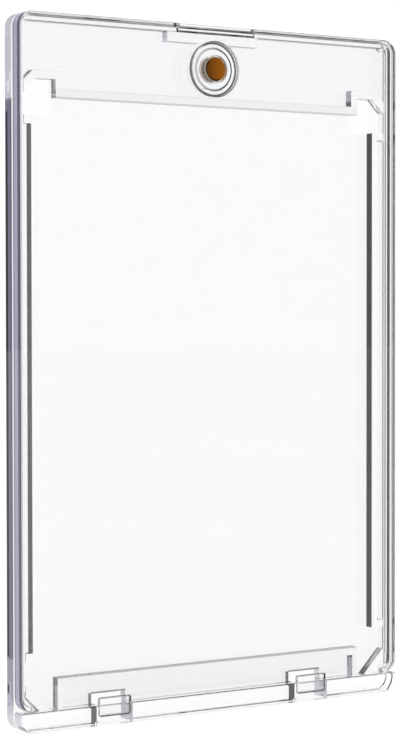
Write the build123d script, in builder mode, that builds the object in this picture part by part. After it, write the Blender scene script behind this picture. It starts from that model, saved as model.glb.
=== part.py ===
from build123d import *
import os

# Clear two-part display case for one standard trading card.
# Frame: millimetres, +Z up, X across the case, front face towards -Y.
# Origin: centre of the bottom edge, half way through the thickness.

# ---- driving dimensions ----
case_width = 72.4          # overall width
case_height = 110.8        # overall height
case_thickness = 5.0       # overall thickness
corner_radius = 2.3        # outline corners, both shells

card_pocket_width = 64.4   # between the two side ribs (card 63.5)
card_pocket_height = 90.0  # between the top and bottom ribs (card 88.9)
card_pocket_bottom = 7.95  # height of the lower rib face above the base

# depths measured from the front face
cover_plate = 1.25         # front window thickness
cover_rim_depth = 2.3      # how far the cover's rim reaches back
shoulder_depth = 2.7       # front of the rear shell's outer shoulder
lip_depth = 2.05           # front of the inner lip and of the ribs
floor_depth = 3.55         # front of the rear plate
cover_rim = 0.65           # cover rim wall at the sides
cover_top_rim = 0.45       # and along the top
lap_clearance = 0.10       # between the cover rim and the inner lip
rim_wall = 1.25            # rear shell's top rim, outline to hollow
side_wall = 1.6            # rear shell's side rims at the lip
lip_edge_radius = 0.2      # inner front edge of the lip
cover_corner_radius = 0.3  # inside corner of the cover's rim

rail_height = 3.1          # solid rail along the bottom
cover_bottom = 3.2         # lower edge of the cover
lip_foot = 6.3             # lower end of the inner lip
rail_neck = 0.4            # groove beside the rail that carries on the parting line

# ribs round the card pocket (right half, mirrored)
side_rib_bottom = 10.95
side_rib_top = 95.1
side_rib_wall = 1.15
block_rib_wall = 1.35
relief_x = 29.0            # inner edge of the corner reliefs
relief_wall = 1.0
relief_top = 100.75
relief_rise_wall = 1.3
top_chamfer = 2.25
foot_chamfer = 4.1

# opening notch behind the cover's top edge, and the ledge behind it
notch_half_width = 7.6
notch_floor = 109.3
notch_front = 0.95         # depth of the wall left in front of it
notch_slope = 0.4          # sloped foot and ends of the notch
notch_step_z = 110.0       # the wall thins above this height
notch_step = 0.2
ledge_half_width = 8.7
ledge_bottom = 108.0

# closure magnets
magnet_z = 103.95
magnet_diameter = 4.0
magnet_pocket_diameter = 4.6
front_magnet_thickness = 0.75
rear_magnet_thickness = 0.9
front_boss_diameter = 8.95
front_boss_end = 2.35      # depth from the front face
front_well_diameter = 6.9  # shallow well in the end of the cover's boss
front_well_depth = 0.25
front_boss_foot = 0.12     # fillet at the foot of the cover's boss
front_boss_edge = 0.3
front_well_edge = 0.12
boss_relief_radius = 4.65  # clears the cover's boss in the ledge
rear_boss_end = 2.45       # depth from the front face
rear_boss_diameter = 6.2   # at its end; the sides slope out to the plate
rear_boss_slope = 45

# hooks and their slots
hook_centre_x = 19.03
hook_width = 5.85
hook_bottom = 1.2
hook_top = 4.25
hook_front = 1.35          # depth from the front face
hook_back = 1.9
hook_corner = 0.45
hook_edge = 0.18           # rounding round the hook's rear face
slot_width = 6.25
slot_top = 4.6             # open at the back and at the bottom
slot_front = 1.25          # thickness of the rail's front wall

# edge rounding
front_edge_radius = 0.25
back_edge_radius = 0.4
small_edge_radius = 0.12

# hinge line of the cover, along X
hinge_depth = front_edge_radius
hinge_z = cover_bottom + front_edge_radius

half_w = case_width / 2
half_t = case_thickness / 2
mid_z = case_height / 2
hollow_x = half_w - side_wall
hollow_top = case_height - rim_wall
card_x = card_pocket_width / 2
card_top = card_pocket_bottom + card_pocket_height


def depth_plane(depth):
    # sketch plane facing the front, at a depth behind the front face
    return Plane.XZ.offset(half_t - depth)


def mirrored(points):
    # closed outline from its right half, listed from the bottom up
    left = [(-x, z) for x, z in reversed(points) if x > 0]
    return points + left


card_outline = mirrored([
    (relief_x, card_pocket_bottom),
    (relief_x, rail_height - 0.05),
    (hollow_x - foot_chamfer, rail_height - 0.05),
    (hollow_x - foot_chamfer, rail_height),
    (hollow_x, rail_height + foot_chamfer),
    (hollow_x, side_rib_bottom),
    (card_x, side_rib_bottom),
    (card_x, side_rib_top),
    (hollow_x, side_rib_top),
    (hollow_x, relief_top - top_chamfer),
    (hollow_x - top_chamfer, relief_top),
    (relief_x, relief_top),
    (relief_x, card_top),
])

outer_foot = foot_chamfer - 1.7
outer_top_x = hollow_x - 1.6
rib_outline = mirrored([
    (relief_x - relief_wall + 0.1, card_pocket_bottom - block_rib_wall),
    (relief_x - relief_wall + 0.1, rail_height - 0.05),
    (hollow_x - outer_foot, rail_height - 0.05),
    (hollow_x - outer_foot, rail_height),
    (hollow_x, rail_height + outer_foot),
    (hollow_x, side_rib_bottom + side_rib_wall + 0.05),
    (card_x + side_rib_wall, side_rib_bottom + side_rib_wall + 0.05),
    (card_x + side_rib_wall, side_rib_top - side_rib_wall - 0.2),
    (hollow_x, side_rib_top - side_rib_wall - 0.2),
    (hollow_x, relief_top + relief_rise_wall - 1.6),
    (outer_top_x, relief_top + relief_rise_wall),
    (relief_x - relief_wall - 0.2, relief_top + relief_rise_wall),
    (relief_x - relief_wall - 0.2, card_top + block_rib_wall + 0.05),
])

# ---- rear shell ----
with BuildPart() as rear_shell:
    # rear plate and outer shoulder
    with BuildSketch(depth_plane(case_thickness)):
        with Locations((0, mid_z)):
            RectangleRounded(case_width, case_height, corner_radius)
    extrude(amount=case_thickness - shoulder_depth)
    fillet(rear_shell.faces().sort_by(Axis.Y)[-1].edges(), back_edge_radius)
    front_rim = rear_shell.faces().filter_by(Axis.Y).sort_by(Axis.Y)[0]
    fillet(front_rim.edges(), small_edge_radius)

    # inner lip that the cover's rim laps over; it starts above the cover's
    # lower corners, which rise as the cover tilts
    lap = cover_rim + lap_clearance
    top_lap = cover_top_rim + lap_clearance
    with BuildSketch(depth_plane(shoulder_depth)):
        with Locations((0, (cover_bottom + lap + case_height - top_lap) / 2)):
            RectangleRounded(case_width - 2 * lap, case_height - cover_bottom - lap - top_lap,
                             corner_radius - lap)
        with Locations((0, lip_foot / 2)):
            Rectangle(case_width, lip_foot, mode=Mode.SUBTRACT)
    extrude(amount=shoulder_depth - lip_depth)

    # rail: neck, then the full-width front block
    with BuildSketch(depth_plane(shoulder_depth + 0.2)):
        with Locations((0, mid_z)):
            RectangleRounded(case_width - 2 * rail_neck, case_height - 2 * rail_neck,
                             corner_radius - rail_neck)
        with Locations((0, rail_height + case_height / 2)):
            Rectangle(case_width + 2, case_height, mode=Mode.SUBTRACT)
    extrude(amount=shoulder_depth - cover_rim_depth + 0.2)
    with BuildSketch(depth_plane(cover_rim_depth)):
        with Locations((0, mid_z)):
            RectangleRounded(case_width, case_height, corner_radius)
        with Locations((0, rail_height + case_height / 2)):
            Rectangle(case_width + 2, case_height, mode=Mode.SUBTRACT)
    extrude(amount=cover_rim_depth)
    rail_front = rear_shell.faces().filter_by(Axis.Y).sort_by(Axis.Y)[0]
    fillet(rail_front.edges(), front_edge_radius)

    # hollow behind the window, open to the front
    with BuildSketch(depth_plane(floor_depth)):
        with Locations((0, (rail_height + hollow_top) / 2)):
            Rectangle(2 * hollow_x, hollow_top - rail_height)
    extrude(amount=floor_depth, mode=Mode.SUBTRACT)
    lip_edges = rear_shell.edges().filter_by_position(Axis.Y, lip_depth - half_t - 0.01, lip_depth - half_t + 0.01)
    lip_edges = lip_edges.filter_by_position(Axis.X, -hollow_x - 0.01, hollow_x + 0.01)
    lip_edges = lip_edges.filter_by_position(Axis.Z, lip_foot, hollow_top + 0.01)
    fillet(lip_edges, lip_edge_radius)

    # ribs that stand round the card pocket
    with BuildSketch(depth_plane(floor_depth)):
        with BuildLine():
            Polyline(*rib_outline, close=True)
        make_face()
        with BuildLine(mode=Mode.PRIVATE) as pocket_line:
            Polyline(*card_outline, close=True)
        make_face(pocket_line.edges(), mode=Mode.SUBTRACT)
    extrude(amount=floor_depth - lip_depth)

    # rounded inner corners of the hollow
    for side in (-1, 1):
        with BuildSketch(depth_plane(floor_depth)):
            with Locations((side * (hollow_x - 0.4), hollow_top - 0.4)):
                Rectangle(0.8, 0.8)
            with Locations((side * (hollow_x - 0.8), hollow_top - 0.8)):
                Circle(0.8, mode=Mode.SUBTRACT)
        extrude(amount=floor_depth - lip_depth - lip_edge_radius)

    # ledge behind the opening notch
    with BuildSketch(depth_plane(floor_depth)):
        with Locations((0, (ledge_bottom + hollow_top) / 2)):
            Rectangle(2 * ledge_half_width, hollow_top - ledge_bottom)
    extrude(amount=floor_depth - lip_depth)

    # room for the cover's boss, then the magnet boss and its pocket
    with BuildSketch(depth_plane(floor_depth)):
        with Locations((0, magnet_z)):
            Circle(boss_relief_radius)
    extrude(amount=floor_depth, mode=Mode.SUBTRACT)
    boss_height = floor_depth - rear_boss_end
    with BuildSketch(depth_plane(floor_depth)):
        with Locations((0, magnet_z)):
            Circle(rear_boss_diameter / 2 + boss_height)
    extrude(amount=boss_height, taper=rear_boss_slope)
    with BuildSketch(depth_plane(rear_boss_end)):
        with Locations((0, magnet_z)):
            Circle(magnet_pocket_diameter / 2)
    extrude(amount=-rear_magnet_thickness, mode=Mode.SUBTRACT)

    # hook slots, open to the back and to the bottom
    for side in (-1, 1):
        with BuildSketch(depth_plane(case_thickness)):
            with Locations((side * hook_centre_x, (slot_top - 1) / 2)):
                Rectangle(slot_width, slot_top + 1)
        extrude(amount=case_thickness - slot_front, mode=Mode.SUBTRACT)
rear_shell.part.label = "rear_shell"

# ---- space cut by the opening notch, sloped at its foot and ends ----
with BuildPart() as notch_space:
    with BuildSketch(Plane.YZ.offset(-notch_half_width)):
        with BuildLine():
            Polyline((notch_front - notch_step - half_t, case_height + 1),
                     (notch_front - notch_step - half_t, notch_step_z + notch_step),
                     (notch_front - half_t, notch_step_z),
                     (notch_front - half_t, notch_floor + notch_slope),
                     (notch_front + notch_slope - half_t, notch_floor),
                     (half_t, notch_floor), (half_t, case_height + 1), close=True)
        make_face()
    extrude(amount=2 * notch_half_width)
    end_run = notch_step + notch_slope
    with BuildSketch(Plane.XY.offset(notch_floor - 1)):
        with BuildLine():
            Polyline((-notch_half_width, half_t),
                     (-notch_half_width, notch_front + notch_slope - half_t),
                     (end_run - notch_half_width, notch_front - notch_step - half_t),
                     (notch_half_width - end_run, notch_front - notch_step - half_t),
                     (notch_half_width, notch_front + notch_slope - half_t),
                     (notch_half_width, half_t), close=True)
        make_face()
    extrude(amount=case_height - notch_floor + 3, mode=Mode.INTERSECT)

# ---- front cover ----
with BuildPart() as front_cover:
    with BuildSketch(depth_plane(cover_rim_depth)):
        with Locations((0, (cover_bottom + case_height) / 2)):
            RectangleRounded(case_width, case_height - cover_bottom, corner_radius)
    extrude(amount=cover_rim_depth)
    fillet(front_cover.faces().sort_by(Axis.Y)[0].edges(), front_edge_radius)
    fillet(front_cover.faces().sort_by(Axis.Y)[-1].edges(), small_edge_radius)

    # space inside the rim; the lower edge has no rim
    with BuildSketch(depth_plane(case_thickness)):
        with Locations((0, (cover_bottom + cover_rim + case_height - cover_top_rim) / 2)):
            RectangleRounded(case_width - 2 * cover_rim,
                             case_height - cover_bottom - cover_rim - cover_top_rim,
                             corner_radius - cover_rim)
        with Locations((0, cover_bottom + 1.4)):
            Rectangle(case_width - 2 * corner_radius, 2.8 + 0.4)
    extrude(amount=case_thickness - cover_plate, mode=Mode.SUBTRACT)
    rim_corner = front_cover.edges().filter_by_position(Axis.Y, cover_plate - half_t - 0.01, cover_plate - half_t + 0.01)
    fillet(rim_corner.filter_by_position(Axis.Z, mid_z - 10, case_height), cover_corner_radius)

    # opening notch: a recess behind the top edge, through the rim
    add(notch_space.part, mode=Mode.SUBTRACT)

    # magnet boss, the well in its end and the magnet pocket
    with BuildSketch(depth_plane(front_boss_end)):
        with Locations((0, magnet_z)):
            Circle(front_boss_diameter / 2)
    extrude(amount=front_boss_end - cover_plate)
    boss_circles = front_cover.edges().filter_by(GeomType.CIRCLE).filter_by_position(Axis.Z, magnet_z - 0.1, magnet_z + 0.1)
    fillet(boss_circles.sort_by(Axis.Y)[0], front_boss_foot)
    boss_circles = front_cover.edges().filter_by(GeomType.CIRCLE).filter_by_position(Axis.Z, magnet_z - 0.1, magnet_z + 0.1)
    fillet(boss_circles.sort_by(Axis.Y)[-1], front_boss_edge)
    with BuildSketch(depth_plane(front_boss_end)):
        with Locations((0, magnet_z)):
            Circle(front_well_diameter / 2)
    extrude(amount=front_well_depth, mode=Mode.SUBTRACT)
    boss_circles = front_cover.edges().filter_by(GeomType.CIRCLE).filter_by_position(Axis.Z, magnet_z - 0.1, magnet_z + 0.1)
    well_edge = [e for e in boss_circles.group_by(Axis.Y)[-1] if abs(e.radius - front_well_diameter / 2) < 0.01]
    fillet(well_edge, front_well_edge)
    with BuildSketch(depth_plane(front_boss_end - front_well_depth)):
        with Locations((0, magnet_z)):
            Circle(magnet_pocket_diameter / 2)
    extrude(amount=front_magnet_thickness, mode=Mode.SUBTRACT)

    # two hooks that reach down behind the rail
    for side in (-1, 1):
        with BuildSketch(depth_plane(hook_back)):
            with Locations((side * hook_centre_x, (hook_bottom + hook_top) / 2)):
                RectangleRounded(hook_width, hook_top - hook_bottom, hook_corner)
        extrude(amount=hook_back - hook_front)
        hook_rims = front_cover.edges().filter_by_position(Axis.Y, hook_back - half_t - 0.01, hook_back - half_t + 0.01)
        hook_rims = hook_rims.filter_by_position(Axis.Z, 0, hook_top + 0.01)
        hook_rims = hook_rims.filter_by_position(Axis.X, side * hook_centre_x - hook_width, side * hook_centre_x + hook_width)
        fillet(hook_rims, hook_edge)
        with BuildSketch(depth_plane(hook_front + 0.05)):
            with Locations((side * hook_centre_x, (cover_bottom + hook_top) / 2)):
                Rectangle(hook_width, hook_top - cover_bottom)
        extrude(amount=0.05 + hook_front - cover_plate + 0.05)
front_cover.part.label = "front_cover"

# ---- magnets ----
with BuildPart() as front_magnet:
    with BuildSketch(depth_plane(front_boss_end - front_well_depth)):
        with Locations((0, magnet_z)):
            Circle(magnet_diameter / 2)
    extrude(amount=front_magnet_thickness)
    fillet(front_magnet.edges().filter_by(GeomType.CIRCLE), 0.15)
front_magnet.part.label = "front_magnet"

with BuildPart() as rear_magnet:
    with BuildSketch(depth_plane(rear_boss_end + rear_magnet_thickness)):
        with Locations((0, magnet_z)):
            Circle(magnet_diameter / 2)
    extrude(amount=rear_magnet_thickness)
    fillet(rear_magnet.edges().filter_by(GeomType.CIRCLE), 0.15)
rear_magnet.part.label = "rear_magnet"

os.makedirs("parts", exist_ok=True)
export_step(rear_shell.part, "parts/rear_shell.step")
export_step(front_cover.part, "parts/front_cover.step")
export_step(front_magnet.part, "parts/front_magnet.step")
export_step(rear_magnet.part, "parts/rear_magnet.step")
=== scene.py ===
import math

import bpy
from mathutils import Matrix, Vector

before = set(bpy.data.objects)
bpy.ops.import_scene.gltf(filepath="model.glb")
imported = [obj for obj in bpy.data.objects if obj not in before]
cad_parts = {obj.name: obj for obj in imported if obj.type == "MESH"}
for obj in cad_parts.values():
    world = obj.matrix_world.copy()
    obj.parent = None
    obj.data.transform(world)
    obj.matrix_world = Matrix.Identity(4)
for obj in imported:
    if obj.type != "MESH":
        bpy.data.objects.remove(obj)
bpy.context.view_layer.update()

MM = 0.001
MID_Z = 55.4          # half the height of the case, mm


# ---------------------------------------------------------------- node helpers
class Nodes:
    """Short forms for the few node kinds the materials are built from."""

    def __init__(self, name):
        self.mat = bpy.data.materials.new(name)
        self.mat.use_nodes = True
        self.tree = self.mat.node_tree
        self.tree.nodes.clear()
        out = self.tree.nodes.new("ShaderNodeOutputMaterial")
        self.bsdf = self.tree.nodes.new("ShaderNodeBsdfPrincipled")
        self.link(self.bsdf.outputs["BSDF"], out.inputs["Surface"])
        coords = self.tree.nodes.new("ShaderNodeTexCoord")
        self.coord = coords.outputs["Object"]
        place, turn = (self.tree.nodes.new("ShaderNodeSeparateXYZ") for _ in range(2))
        self.link(coords.outputs["Object"], place.inputs[0])
        self.link(coords.outputs["Normal"], turn.inputs[0])
        self.x, self.y, self.z = (self.math("MULTIPLY", place.outputs[i], 1 / MM) for i in range(3))
        # the outward normal, also where a ray meets the surface from inside the plastic
        inside = self.tree.nodes.new("ShaderNodeNewGeometry").outputs["Backfacing"]
        sign = self.math("SUBTRACT", 1.0, self.math("MULTIPLY", inside, 2.0))
        self.nx, self.ny, self.nz = (self.math("MULTIPLY", turn.outputs[i], sign) for i in range(3))

    def link(self, a, b):
        self.tree.links.new(a, b)

    def put(self, value, socket):
        if isinstance(value, bpy.types.NodeSocket):
            self.link(value, socket)
        else:
            socket.default_value = value

    def math(self, kind, a, b=None, clamp=False):
        node = self.tree.nodes.new("ShaderNodeMath")
        node.operation = kind
        node.use_clamp = clamp
        self.put(a, node.inputs[0])
        if b is not None:
            self.put(b, node.inputs[1])
        return node.outputs[0]

    def step(self, value, start, end):
        """0 before start, 1 past end, smooth between."""
        node = self.tree.nodes.new("ShaderNodeMapRange")
        node.interpolation_type = "SMOOTHSTEP"
        self.put(value, node.inputs["Value"])
        node.inputs["From Min"].default_value = start
        node.inputs["From Max"].default_value = end
        return node.outputs["Result"]

    def band(self, value, low, high, soft):
        """1 between low and high, 0 outside."""
        return self.math("MULTIPLY", self.step(value, low - soft, low + soft),
                         self.step(value, high + soft, high - soft))

    def both(self, first, *others):
        for other in others:
            first = self.math("MULTIPLY", first, other)
        return first

    def either(self, first, *others):
        for other in others:
            first = self.math("MAXIMUM", first, other)
        return first

    def opposite(self, value):
        return self.math("SUBTRACT", 1.0, value)

    def absolute(self, value):
        return self.math("ABSOLUTE", value)

    def mix(self, factor, a, b):
        node = self.tree.nodes.new("ShaderNodeMix")
        node.data_type = "RGBA"
        self.put(factor, node.inputs["Factor"])
        for value, socket in ((a, node.inputs["A"]), (b, node.inputs["B"])):
            self.put((*value, 1.0) if isinstance(value, tuple) else value, socket)
        return node.outputs["Result"]

    def stretch(self, sx, sy, sz):
        node = self.tree.nodes.new("ShaderNodeMapping")
        self.link(self.coord, node.inputs["Vector"])
        node.inputs["Scale"].default_value = (sx, sy, sz)
        return node.outputs["Vector"]

    def noise(self, scale, detail=2.0, roughness=0.5, vector=None):
        node = self.tree.nodes.new("ShaderNodeTexNoise")
        self.put(self.coord if vector is None else vector, node.inputs["Vector"])
        node.inputs["Scale"].default_value = scale
        node.inputs["Detail"].default_value = detail
        node.inputs["Roughness"].default_value = roughness
        return node.outputs["Fac"]

    def bump(self, height, strength, distance):
        node = self.tree.nodes.new("ShaderNodeBump")
        self.link(height, node.inputs["Height"])
        node.inputs["Strength"].default_value = strength
        node.inputs["Distance"].default_value = distance
        self.link(node.outputs["Normal"], self.bsdf.inputs["Normal"])


# ---------------------------------------------------------------- clear plastic
# What each kind of surface lets through: a flat face passes nearly all. The grey and near-black tints of walls and
# edges are painted shade, set one-sided, standing for light lost in the edges of the clear plastic.
CARD_FACE = (0.946, 0.946, 0.948)
RELIEF_FACE = (0.988, 0.988, 0.992)
TOP_DECK = (0.906, 0.909, 0.926)
FOOT_DECK = (0.884, 0.885, 0.909)
RIB_TOP = (0.775, 0.77, 0.795)        # front of the rib along the card's top
RAIL_FACE = (0.965, 0.964, 0.967)
CLEAR = (0.93, 0.93, 0.94)
# painted shade: the wall, rib, rim and line colours below darken where the edges of the clear plastic show dark
WALL_OUT = (0.35, 0.335, 0.43)       # outer sides of the case
WALL_RIM = (0.92, 0.92, 0.94)        # top and bottom edges of the case
RIB_OUT = (0.20, 0.185, 0.25)        # outer walls of the side ribs
RIB_IN = (0.001, 0.001, 0.0013)      # walls that face the card
RIM_IN = (0.028, 0.028, 0.030)       # inside of the cover's rim
LINE_DARK = (0.015, 0.015, 0.018)
LINE_MID = (0.62, 0.62, 0.64)
LEDGE_END = (0.42, 0.42, 0.50)
BLACK = (0.012, 0.012, 0.014)
# the dark hazes are painted shade; the pocket's peach is a painted reflection of the magnet
PAINTED_SHADE_SIDE = (0.178, 0.163, 0.262)     # hazed surfaces: outer sides and short end walls
HAZE_LIGHT = (0.70, 0.69, 0.77)
PAINTED_SHADE_LID = (0.46, 0.445, 0.575)
PAINTED_SHADE_EDGE = (0.10, 0.090, 0.150)
PAINTED_SHADE_RELIEF = (0.44, 0.41, 0.49)
PAINTED_REFLECTION_POCKET = (1.0, 0.86, 0.70)
HAZE_SLOT = (0.68, 0.66, 0.76)
PAINTED_SHADE_SIDE_FOOT = (0.36, 0.345, 0.44)
HAZE_FOOT = (0.92, 0.92, 0.95)


def clear_plastic(name, rear):
    """Moulded clear acrylic, told apart by which way a surface faces and where it lies; its dark lines, grey walls and
    hazes are painted shade.
    """
    n = Nodes(name)
    side = n.math("SUBTRACT", n.math("MULTIPLY", n.step(n.x, -0.5, 0.5), 2.0), 1.0)
    level = n.math("SUBTRACT", n.math("MULTIPLY", n.step(n.z, MID_Z - 1, MID_Z + 1), 2.0), 1.0)
    out_x = n.math("MULTIPLY", n.nx, side)
    out_z = n.math("MULTIPLY", n.nz, level)
    ax, any_ = n.absolute(n.x), n.absolute(n.ny)
    edge = n.step(any_, 0.985, 0.55)
    in_x, in_z = n.step(out_x, -0.12, -0.6), n.step(out_z, -0.12, -0.6)
    rim_z = n.step(out_z, 0.2, 0.7)
    up, down = n.step(n.nz, 0.5, 0.8), n.step(n.nz, -0.5, -0.8)
    plus_x, minus_x = n.step(n.nx, 0.6, 0.8), n.step(n.nx, -0.6, -0.8)
    left = n.step(n.x, 0.0, -1.0)
    dz = n.math("SUBTRACT", n.z, 103.95)
    radius = n.math("SQRT", n.math("ADD", n.math("MULTIPLY", n.x, n.x), n.math("MULTIPLY", dz, dz)))
    wide = n.noise(28.0, 3.0)

    if rear:
        # flat faces
        flat = n.mix(n.step(n.z, 98.9, 99.6), CARD_FACE, TOP_DECK)
        relief = n.both(n.step(ax, 29.0, 29.1), n.step(n.z, 100.8, 100.7), n.step(n.y, 0.8, 0.9))
        flat = n.mix(n.both(relief, n.step(n.z, 95.0, 95.2)), flat, RELIEF_FACE)
        flat = n.mix(n.both(n.step(n.z, 8.0, 7.9), n.step(ax, 28.8, 28.6)), flat, FOOT_DECK)
        flat = n.mix(n.step(n.z, 3.3, 3.0), flat, RAIL_FACE)
        rib = n.both(n.band(n.z, 97.9, 99.4, 0.1), n.band(n.y, -0.6, -0.3, 0.05), n.step(ax, 33.6, 33.5))
        flat = n.mix(rib, flat, RIB_TOP)
        # walls: their grey and near-black tints are painted shade
        wall = n.mix(n.step(ax, 35.0, 34.5), WALL_OUT, RIB_OUT)
        wall = n.mix(n.both(n.step(ax, 9.0, 8.9), n.step(n.z, 107.8, 107.9)), wall, LEDGE_END)
        wall = n.mix(rim_z, wall, WALL_RIM)
        wall = n.mix(in_x, wall, RIB_IN)
        wall = n.mix(in_z, wall, LINE_DARK)
        rail_edge = n.both(in_z, n.step(n.z, 3.3, 3.2))
        wall = n.mix(rail_edge, wall, LINE_MID)
        # rounded back edges outside: painted shade, grey under the middle only and near black along the foot
        back_edge = n.both(n.step(n.ny, 0.15, 0.3), n.step(n.y, 1.9, 2.0))
        wall = n.mix(back_edge, wall, (0.9, 0.9, 0.92))
        foot_edge = n.both(back_edge, n.step(n.z, 1.0, 0.9), n.band(n.x, -15.8, 26.0, 0.2))
        wall = n.mix(foot_edge, wall, (0.03, 0.03, 0.035))
        # the rim's inner and right outer side, the magnet boss and the room round it stay clear
        rim = n.both(n.band(ax, 34.5, 34.7, 0.03), n.step(n.y, -0.3, -0.25), n.step(any_, 0.2, 0.1))
        lip_edge = n.both(n.band(n.x, -34.85, -34.5, 0.03), n.step(n.y, -0.5, -0.46))
        boss = n.step(radius, 4.9, 4.8)
        wall = n.mix(n.either(rim, lip_edge, boss), wall, CLEAR)
        right_side = n.both(n.step(n.x, 35.9, 36.1), n.step(n.nx, 0.5, 0.9))
        wall = n.mix(right_side, wall, CLEAR)
        relief_back = n.both(n.band(ax, 27.6, 29.2, 0.05), plus_x, n.step(n.y, 1.1, 1.0))
        wall = n.mix(relief_back, wall, CLEAR)
        # slanted corners of the ribs: painted grey shade only along their foot
        slant = n.both(n.band(n.absolute(n.nx), 0.5, 0.86, 0.05), n.band(n.absolute(n.nz), 0.5, 0.86, 0.05),
                       n.step(any_, 0.3, 0.2), n.step(ax, 34.7, 34.6))
        wall = n.mix(n.both(slant, n.step(n.y, 0.75, 0.6)), wall, (0.9, 0.9, 0.92))
        colour = n.mix(edge, flat, wall)

        # painted shade: fine dark lines where walls meet the plate
        def ledge(z, way, amount, low=-0.5):
            return n.both(n.band(n.z, z - 0.06, z + 0.06, 0.02), way, n.step(n.y, low, low + 0.05), amount)

        lines = n.either(ledge(97.95, down, 0.5), ledge(99.35, up, 0.28), ledge(100.75, down, 0.55),
                         ledge(102.05, up, 0.25), ledge(93.75, down, 0.7), ledge(7.95, up, 0.75),
                         ledge(6.6, down, 0.15), ledge(12.15, up, 0.5))
        # painted shade: thin dark lines along the ribs' front faces
        rib_front = n.both(n.band(n.y, -0.5, -0.4, 0.02), n.step(n.ny, -0.8, -0.9))
        lines = n.either(lines, n.both(rib_front, n.band(n.z, 7.78, 7.98, 0.03), n.step(ax, 29.05, 29.0), 0.38),
                         n.both(rib_front, n.band(n.z, 97.92, 98.12, 0.03), n.step(ax, 29.05, 29.0), 0.22),
                         n.both(rib_front, n.band(n.z, 93.72, 93.97, 0.03), n.band(n.x, 33.2, 34.4, 0.1), 0.5))
        across = n.math("SUBTRACT", ax, n.z)         # tells the inner slant from the outer one
        outer_one = n.step(across, 28.0, 28.6)
        # painted shade: dark lines along the foot of the slants
        foot_slant = n.both(slant, n.step(n.z, 12.0, 11.0),
                            n.mix(left, n.opposite(outer_one), outer_one),
                            n.math("ADD", 0.5, n.math("MULTIPLY", n.step(n.z, 5.2, 3.8), 0.45)))
        # painted shade: dark sides and top of the two hook slots
        near_slot = n.both(n.band(ax, 15.6, 22.5, 0.05), n.step(n.z, 4.75, 4.65), n.step(n.y, -1.3, -1.2))
        slot_end = n.both(near_slot, plus_x, n.step(n.y, -0.4, -0.3))
        lintel = n.both(n.band(ax, 15.9, 22.2, 0.03), n.band(n.z, 4.55, 4.85, 0.03), n.step(n.y, 0.9, 1.0), 0.75,
                        n.step(n.y, 2.3, 2.2))
        # the rib's wall to the right of the card, painted dark as shade
        card_side = n.both(n.band(n.x, 32.1, 32.3, 0.03), minus_x, n.step(n.y, 1.1, 1.0))
        # painted shade: dark line down the outer side, level with the card
        side_line = n.both(n.step(n.x, -33.7, -34.0), n.band(n.y, 1.42, 2.06, 0.05),
                           n.either(n.band(n.z, 11.6, 95.6, 0.1), n.band(n.z, 5.9, 7.3, 0.3)), minus_x, 0.92)
        # painted shade: dark foot of the rail on the left
        rail_foot = n.both(n.step(n.x, -33.7, -34.0), n.step(n.z, 1.3, 1.0), n.step(n.y, -0.3, -0.4),
                           n.step(n.nz, -0.2, -0.5), n.step(n.nx, -0.2, -0.5), 0.75)
        painted_shade_lines = n.either(lines, foot_slant, slot_end, lintel, card_side, side_line, rail_foot)

        # hazed surfaces: the left outer side, the short walls of the corner reliefs, the slots' right walls; their
        # grey and dark tones are painted shade, and the pocket's peach is a painted reflection of the magnet
        outside = n.both(n.step(n.x, -33.7, -34.0), n.step(n.y, 2.2, 2.1), n.step(n.nx, -0.2, -0.6))
        level_band = n.both(n.band(n.z, 11.2, 97.6, 0.3), n.step(n.y, 0.0, 0.1))
        haze_and_painted_light = n.mix(n.step(n.z, 3.2, 2.2), HAZE_LIGHT, (0.86, 0.855, 0.90))
        haze_and_painted_light = n.mix(n.both(n.band(n.z, 3.9, 11.2, 0.3), n.step(n.y, 0.0, 0.1)), haze_and_painted_light, PAINTED_SHADE_SIDE_FOOT)
        haze_and_painted_light = n.mix(level_band, haze_and_painted_light, PAINTED_SHADE_SIDE)
        haze_and_painted_light = n.mix(n.both(n.band(n.y, 0.15, 0.62, 0.06), level_band, 0.5), haze_and_painted_light, PAINTED_SHADE_EDGE)
        relief_end = n.both(n.band(ax, 27.6, 29.2, 0.05), minus_x, n.step(n.y, 1.1, 1.0))
        haze_and_painted_light = n.mix(relief_end, haze_and_painted_light, PAINTED_SHADE_RELIEF)
        haze_and_painted_light = n.mix(n.both(relief_end, left, n.step(n.z, 90.0, 91.0)), haze_and_painted_light, (0.60, 0.58, 0.64))
        pocket = n.both(n.band(radius, 2.24, 2.36, 0.02), n.step(n.y, -0.1, -0.06), n.step(any_, 0.3, 0.2))
        haze_and_painted_light = n.mix(pocket, haze_and_painted_light, PAINTED_REFLECTION_POCKET)
        slot_side = n.both(near_slot, minus_x)
        haze_and_painted_light = n.mix(slot_side, haze_and_painted_light, n.mix(n.step(n.z, 3.0, 3.2), HAZE_SLOT, HAZE_FOOT))
        foot = n.both(n.step(n.z, 0.45, 0.3), back_edge,
                      n.either(n.step(n.x, -15.8, -16.0), n.step(n.x, 26.0, 27.0)))
        haze_and_painted_light_weight = n.either(n.both(n.either(outside, slot_side), 0.7), n.both(relief_end, 0.6), n.both(pocket, 0.85))
        # painted shade: dark ends of the short walls
        ends = n.either(n.both(left, n.band(n.z, 98.75, 99.05, 0.08), 0.55),
                        n.both(n.opposite(left), n.band(n.z, 98.0, 100.25, 0.15), 0.85),
                        n.both(n.opposite(left), n.band(n.z, 6.15, 7.0, 0.08), 0.85))
        painted_shade_lines = n.either(painted_shade_lines, n.both(relief_end, ends))
        # matt: the foot's back edge beside the slots
        frost = n.both(foot, 0.6)
    else:
        flat = n.mix(0.0, CARD_FACE, CARD_FACE)
        wall = n.mix(rim_z, WALL_OUT, WALL_RIM)
        wall = n.mix(in_x, wall, RIM_IN)
        wall = n.mix(in_z, wall, (0.6, 0.6, 0.63))
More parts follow.
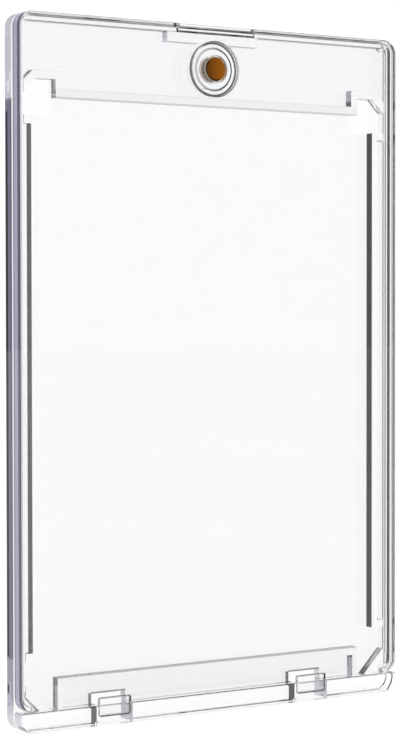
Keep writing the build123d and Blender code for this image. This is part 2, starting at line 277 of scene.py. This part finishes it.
        # front edge down the right side, grey as painted shade, and the rounded inside corner of the rim
        right_front = n.both(n.step(n.nx, 0.15, 0.3), n.step(n.ny, -0.05, -0.15), n.step(n.x, 33, 34))
        wall = n.mix(right_front, wall, (0.5, 0.5, 0.55))
        wall = n.mix(n.both(n.step(n.z, 5.6, 5.2), n.step(ax, 35.3, 35.1)), wall, CLEAR)
        # the magnet boss is clear but for its fine dark outlines, which are painted shade
        wall = n.mix(n.step(radius, 5.3, 5.2), wall, CLEAR)
        hook = n.both(n.band(ax, 15.8, 22.2, 0.05), n.step(n.z, 4.4, 4.3))
        wall = n.mix(hook, wall, (0.85, 0.85, 0.88))
        colour = n.mix(edge, flat, wall)
        # painted shade: fine dark outlines of the notch, the inside corner of the rim, the boss and the hooks
        slope = n.both(n.step(ax, 7.65, 7.6), n.step(n.z, 109.2, 109.3), n.band(n.y, -1.76, -1.14, 0.01),
                       n.step(any_, 0.93, 0.88))
        ends = n.step(n.absolute(n.nx), 0.2, 0.4)
        notch = n.either(n.both(slope, n.opposite(ends), 0.85),
                         n.both(slope, ends, n.step(ax, 7.25, 7.3), n.step(n.z, 110.1, 110.0), 0.85))
        notch_end = n.both(n.band(n.x, -7.7, -7.5, 0.02), n.step(n.z, 110.0, 110.1), plus_x)
        top_corner = n.both(n.step(n.z, 110.02, 110.06), n.band(n.y, -1.26, -0.7, 0.01), n.step(n.nz, -0.1, -0.3),
                            n.step(n.x, -33.9, -33.8), 0.6)
        right_corner = n.both(n.step(n.x, 35.2, 35.24), n.band(n.y, -1.26, -0.15, 0.01), n.step(n.nx, -0.1, -0.3), 0.6)
        right_line = n.both(n.step(n.x, 34.6, 35.0), n.band(n.y, -1.38, -0.78, 0.03), n.step(n.nx, 0.3, 0.5), 0.9)
        # painted shade: the boss's inner ring is darker to the right, lighter to the left
        toward = n.step(n.x, -3.0, 2.0)
        inner = n.both(n.band(radius, 3.2, 3.52, 0.02), n.math("ADD", 0.28, n.math("MULTIPLY", toward, 0.67)))
        outer = n.both(n.band(radius, 4.04, 4.34, 0.02), n.step(n.x, -3.2, -1.5), 0.9)
        rings = n.both(n.either(inner, outer), n.step(n.y, -0.6, -0.5), n.step(n.ny, 0.05, 0.1))
        boss_side = n.both(n.band(radius, 4.35, 4.6, 0.01), n.band(n.y, -1.02, -0.3, 0.02), n.step(n.nx, 0.1, -0.4), 0.9)
        pocket = n.both(n.band(radius, 2.26, 2.34, 0.01), n.band(n.y, -1.2, -0.42, 0.01), n.step(any_, 0.3, 0.2))
        # painted shade: a dark crescent on the pocket's lower left
        pocket_side = n.both(pocket, n.step(n.math("ADD", n.x, n.math("MULTIPLY", dz, 0.6)), 0.3, -0.8), 0.95)
        hook_edge = n.both(hook, n.step(n.y, -0.83, -0.79), n.step(any_, 0.99, 0.96))
        hook_rim = n.both(hook, n.step(n.y, -0.66, -0.62), 0.33,
                          n.either(n.step(n.absolute(n.math("SUBTRACT", ax, 19.03)), 2.52, 2.6),
                                   n.step(n.absolute(n.math("SUBTRACT", n.z, 2.725)), 1.15, 1.22)))
        painted_shade_lines = n.either(notch, notch_end, top_corner, right_corner, right_line, rings, boss_side, pocket_side, hook_edge,
                         hook_rim)
        # hazed left outer side, darkened as painted shade; the pocket is painted peach as a reflection of the magnet,
        # the rim's end wall painted white as light
        outside = n.both(n.step(n.x, -33.7, -34.0), n.step(n.y, -0.15, -0.25), n.step(n.nx, -0.4, -0.7))
        haze_and_painted_light = n.mix(n.band(n.y, -2.6, -1.72, 0.08), PAINTED_SHADE_LID, PAINTED_SHADE_EDGE)
        haze_and_painted_light = n.mix(n.band(n.y, -0.6, -0.1, 0.06), haze_and_painted_light, (0.20, 0.19, 0.27))
        boss_right = n.both(n.band(radius, 4.4, 4.7, 0.02), n.band(n.y, -1.3, -0.4, 0.02), n.step(n.x, 0.0, 1.0),
                            n.step(any_, 0.99, 0.96))
        haze_and_painted_light = n.mix(pocket, haze_and_painted_light, PAINTED_REFLECTION_POCKET)
        rim_end = n.both(n.band(n.x, 33.8, 34.0, 0.03), n.step(n.z, 4.6, 4.5), minus_x)
        haze_and_painted_light = n.mix(rim_end, haze_and_painted_light, (1.0, 1.0, 1.0))
        haze_and_painted_light_weight = n.either(n.both(outside, 0.7), n.both(n.either(pocket, rim_end), 0.85))
        frost = boss_right

    colour = n.mix(n.step(haze_and_painted_light_weight, 0.0, 0.3), colour, haze_and_painted_light)
    # painted shade: the dark lines turn opaque, metallic near black; hazed and shaded surfaces let less light through
    colour = n.mix(painted_shade_lines, colour, BLACK)
    n.link(n.math("MULTIPLY", n.opposite(painted_shade_lines), n.opposite(haze_and_painted_light_weight)), n.bsdf.inputs["Transmission Weight"])
    n.link(painted_shade_lines, n.bsdf.inputs["Metallic"])
    n.link(colour, n.bsdf.inputs["Base Color"])
    if not rear:
        # painted shade on the reflection: the front face over the magnet reflects a tenth as much, so that the plating
        # reads through it
        dimmed_reflection = n.both(n.step(radius, 2.9, 2.6), n.step(n.y, -2.4, -2.45))
        n.link(n.mix(dimmed_reflection, (1.0, 1.0, 1.0), (0.1, 0.1, 0.1)), n.bsdf.inputs["Specular Tint"])

    # hairline handling marks and slow waviness of a moulded surface
    lines = n.noise(1400.0, 2.0, 0.6, n.stretch(1.0, 1.0, 0.035))
    marks = n.step(lines, 0.66, 0.78)
    rough = n.math("ADD", n.math("MULTIPLY", marks, 0.035), n.math("MULTIPLY", wide, 0.004))
    n.link(n.either(rough, frost), n.bsdf.inputs["Roughness"])
    waves = n.noise(90.0, 1.0)
    height = n.math("ADD", n.math("MULTIPLY", waves, 1.0), n.math("MULTIPLY", marks, 0.02))
    n.bump(height, 0.25, 0.00002)
    n.bsdf.inputs["IOR"].default_value = 1.49
    return n.mat


# ---------------------------------------------------------------- plated magnet
def plated_metal(name):
    """Bronze-gold plating: turned faces and small pits; painted light makes it lighter to the right, painted shade
    darkens the lower-left rim, and the rounded edge is a painted peach highlight.
    """
    n = Nodes(name)
    dx = n.x
    dz = n.math("SUBTRACT", n.z, 103.95)
    radius = n.math("SQRT", n.math("ADD", n.math("MULTIPLY", dx, dx), n.math("MULTIPLY", dz, dz)))
    cloud = n.noise(900.0, 4.0, 0.6)
    rings = n.noise(5200.0, 2.0, 0.5)
    turned = n.tree.nodes.new("ShaderNodeTexNoise")
    turned.noise_dimensions = "1D"
    n.link(n.math("MULTIPLY", radius, 9.0), turned.inputs["W"])
    turned.inputs["Scale"].default_value = 1.0
    turned.inputs["Detail"].default_value = 3.0
    lathe = turned.outputs["Fac"]
    # painted light: lighter to the right, darker to the left, with random patches
    painted_light_across = n.step(n.math("ADD", n.math("MULTIPLY", dx, 0.34), n.math("MULTIPLY", cloud, 0.5)), -0.45, 0.85)
    colour = n.mix(painted_light_across, (0.12, 0.036, 0.002), (0.31, 0.10, 0.005))
    colour = n.mix(n.math("MULTIPLY", n.step(lathe, 0.45, 0.7), 0.25), colour, (0.50, 0.20, 0.03))
    # painted shade: a dark rim on the lower left of the face
    low_left = n.step(n.math("ADD", dx, n.math("MULTIPLY", dz, 0.6)), 0.2, -0.8)
    colour = n.mix(n.both(n.step(radius, 1.5, 1.72), low_left), colour, (0.025, 0.009, 0.001))
    # painted highlight: the rounded edge is matt peach, standing for light caught on the edge
    bevel = n.step(n.absolute(n.ny), 0.97, 0.85)
    colour = n.mix(bevel, colour, (1.0, 0.84, 0.66))
    n.link(colour, n.bsdf.inputs["Base Color"])
    n.link(n.opposite(bevel), n.bsdf.inputs["Metallic"])
    n.link(n.math("ADD", 0.2, n.math("MULTIPLY", cloud, 0.25)), n.bsdf.inputs["Roughness"])
    n.bump(n.math("ADD", n.math("MULTIPLY", lathe, 0.6), n.math("MULTIPLY", rings, 0.4)), 0.35, 0.00001)
    return n.mat


def node_meshes(node):
    return [o for o in bpy.data.objects if o.type == "MESH" and (o.name == node or o.name.startswith(node + "."))]


def use(node, mat):
    for obj in node_meshes(node):
        if not obj.material_slots:
            obj.data.materials.append(mat)
        for slot in obj.material_slots:
            slot.material = mat


use("rear_shell", clear_plastic("clear_shell", True))
use("front_cover", clear_plastic("clear_cover", False))
METAL = plated_metal("plated_magnet")
for node in ("front_magnet", "rear_magnet"):
    use(node, METAL)
    for obj in node_meshes(node):
        # bonded without a film of air: the plating meets the clear pocket floor
        shrink = obj.modifiers.new("bond", "DISPLACE")
        shrink.strength = 0.01 * MM
        shrink.mid_level = 0.0

# ---------------------------------------------------------------- floor
def ground(name, half, z):
    mesh = bpy.data.meshes.new(name)
    mesh.from_pydata([(-half, -half, z), (half, -half, z), (half, half, z), (-half, half, z)], [], [(0, 1, 2, 3)])
    obj = bpy.data.objects.new(name, mesh)
    bpy.context.scene.collection.objects.link(obj)
    return obj


def floor_paint(name):
    n = Nodes(name)
    n.link(n.mix(n.noise(6.0, 3.0), (0.165, 0.165, 0.165), (0.150, 0.150, 0.151)),
           n.bsdf.inputs["Base Color"])
    n.bsdf.inputs["Roughness"].default_value = 0.9
    n.bsdf.inputs["Specular IOR Level"].default_value = 0.0
    n.bsdf.inputs["Emission Color"].default_value = (1, 1, 1, 1)
    n.bsdf.inputs["Emission Strength"].default_value = 0.89
    return n.mat


floor = ground("studio_floor", 3.0, -0.05 * MM)
floor.data.materials.append(floor_paint("floor_paint"))

# ---------------------------------------------------------------- light
world = bpy.data.worlds.new("studio")
bpy.context.scene.world = world
world.use_nodes = True
background = world.node_tree.nodes["Background"]
background.inputs["Color"].default_value = (1, 1, 1, 1)
# the studio's walls glow white; mirrored in a surface they are dimmer
rays = world.node_tree.nodes.new("ShaderNodeLightPath")
mirrored = world.node_tree.nodes.new("ShaderNodeMath")
mirrored.operation = "MULTIPLY"
world.node_tree.links.new(rays.outputs["Is Glossy Ray"], mirrored.inputs[0])
world.node_tree.links.new(rays.outputs["Is Reflection Ray"], mirrored.inputs[1])
strength = world.node_tree.nodes.new("ShaderNodeMapRange")
world.node_tree.links.new(mirrored.outputs[0], strength.inputs["Value"])
strength.inputs["To Min"].default_value = 1.09
strength.inputs["To Max"].default_value = 0.55
world.node_tree.links.new(strength.outputs["Result"], background.inputs["Strength"])

# ---------------------------------------------------------------- camera
FRAME_H = 740
FOCAL_PX = 2173.74
AZ, EL, ROLL = math.radians(-32.865), math.radians(1.524), math.radians(-0.074)
TARGET = Vector((-0.00359, -0.0025, 0.0555))
DIST = 0.349163
cam_data = bpy.data.cameras.new("camera")
cam = bpy.data.objects.new("camera", cam_data)
bpy.context.scene.collection.objects.link(cam)
bpy.context.scene.camera = cam
cam_data.sensor_fit = "AUTO"
cam_data.sensor_width = 36.0
cam_data.lens = FOCAL_PX / FRAME_H * 36.0
cam_data.clip_start = 0.01
cam_data.clip_end = 20.0
back = Vector((math.sin(AZ) * math.cos(EL), -math.cos(AZ) * math.cos(EL), math.sin(EL)))
level_right = Vector((math.cos(AZ), math.sin(AZ), 0))
level_up = back.cross(level_right)
right = level_right * math.cos(ROLL) + level_up * math.sin(ROLL)
up = level_up * math.cos(ROLL) - level_right * math.sin(ROLL)
place = TARGET + back * DIST
cam.matrix_world = Matrix((
    (right.x, up.x, back.x, place.x),
    (right.y, up.y, back.y, place.y),
    (right.z, up.z, back.z, place.z),
    (0, 0, 0, 1)))

scene = bpy.context.scene
scene.view_settings.view_transform = "Standard"
scene.cycles.max_bounces = 32
scene.cycles.transmission_bounces = 32
scene.cycles.glossy_bounces = 16
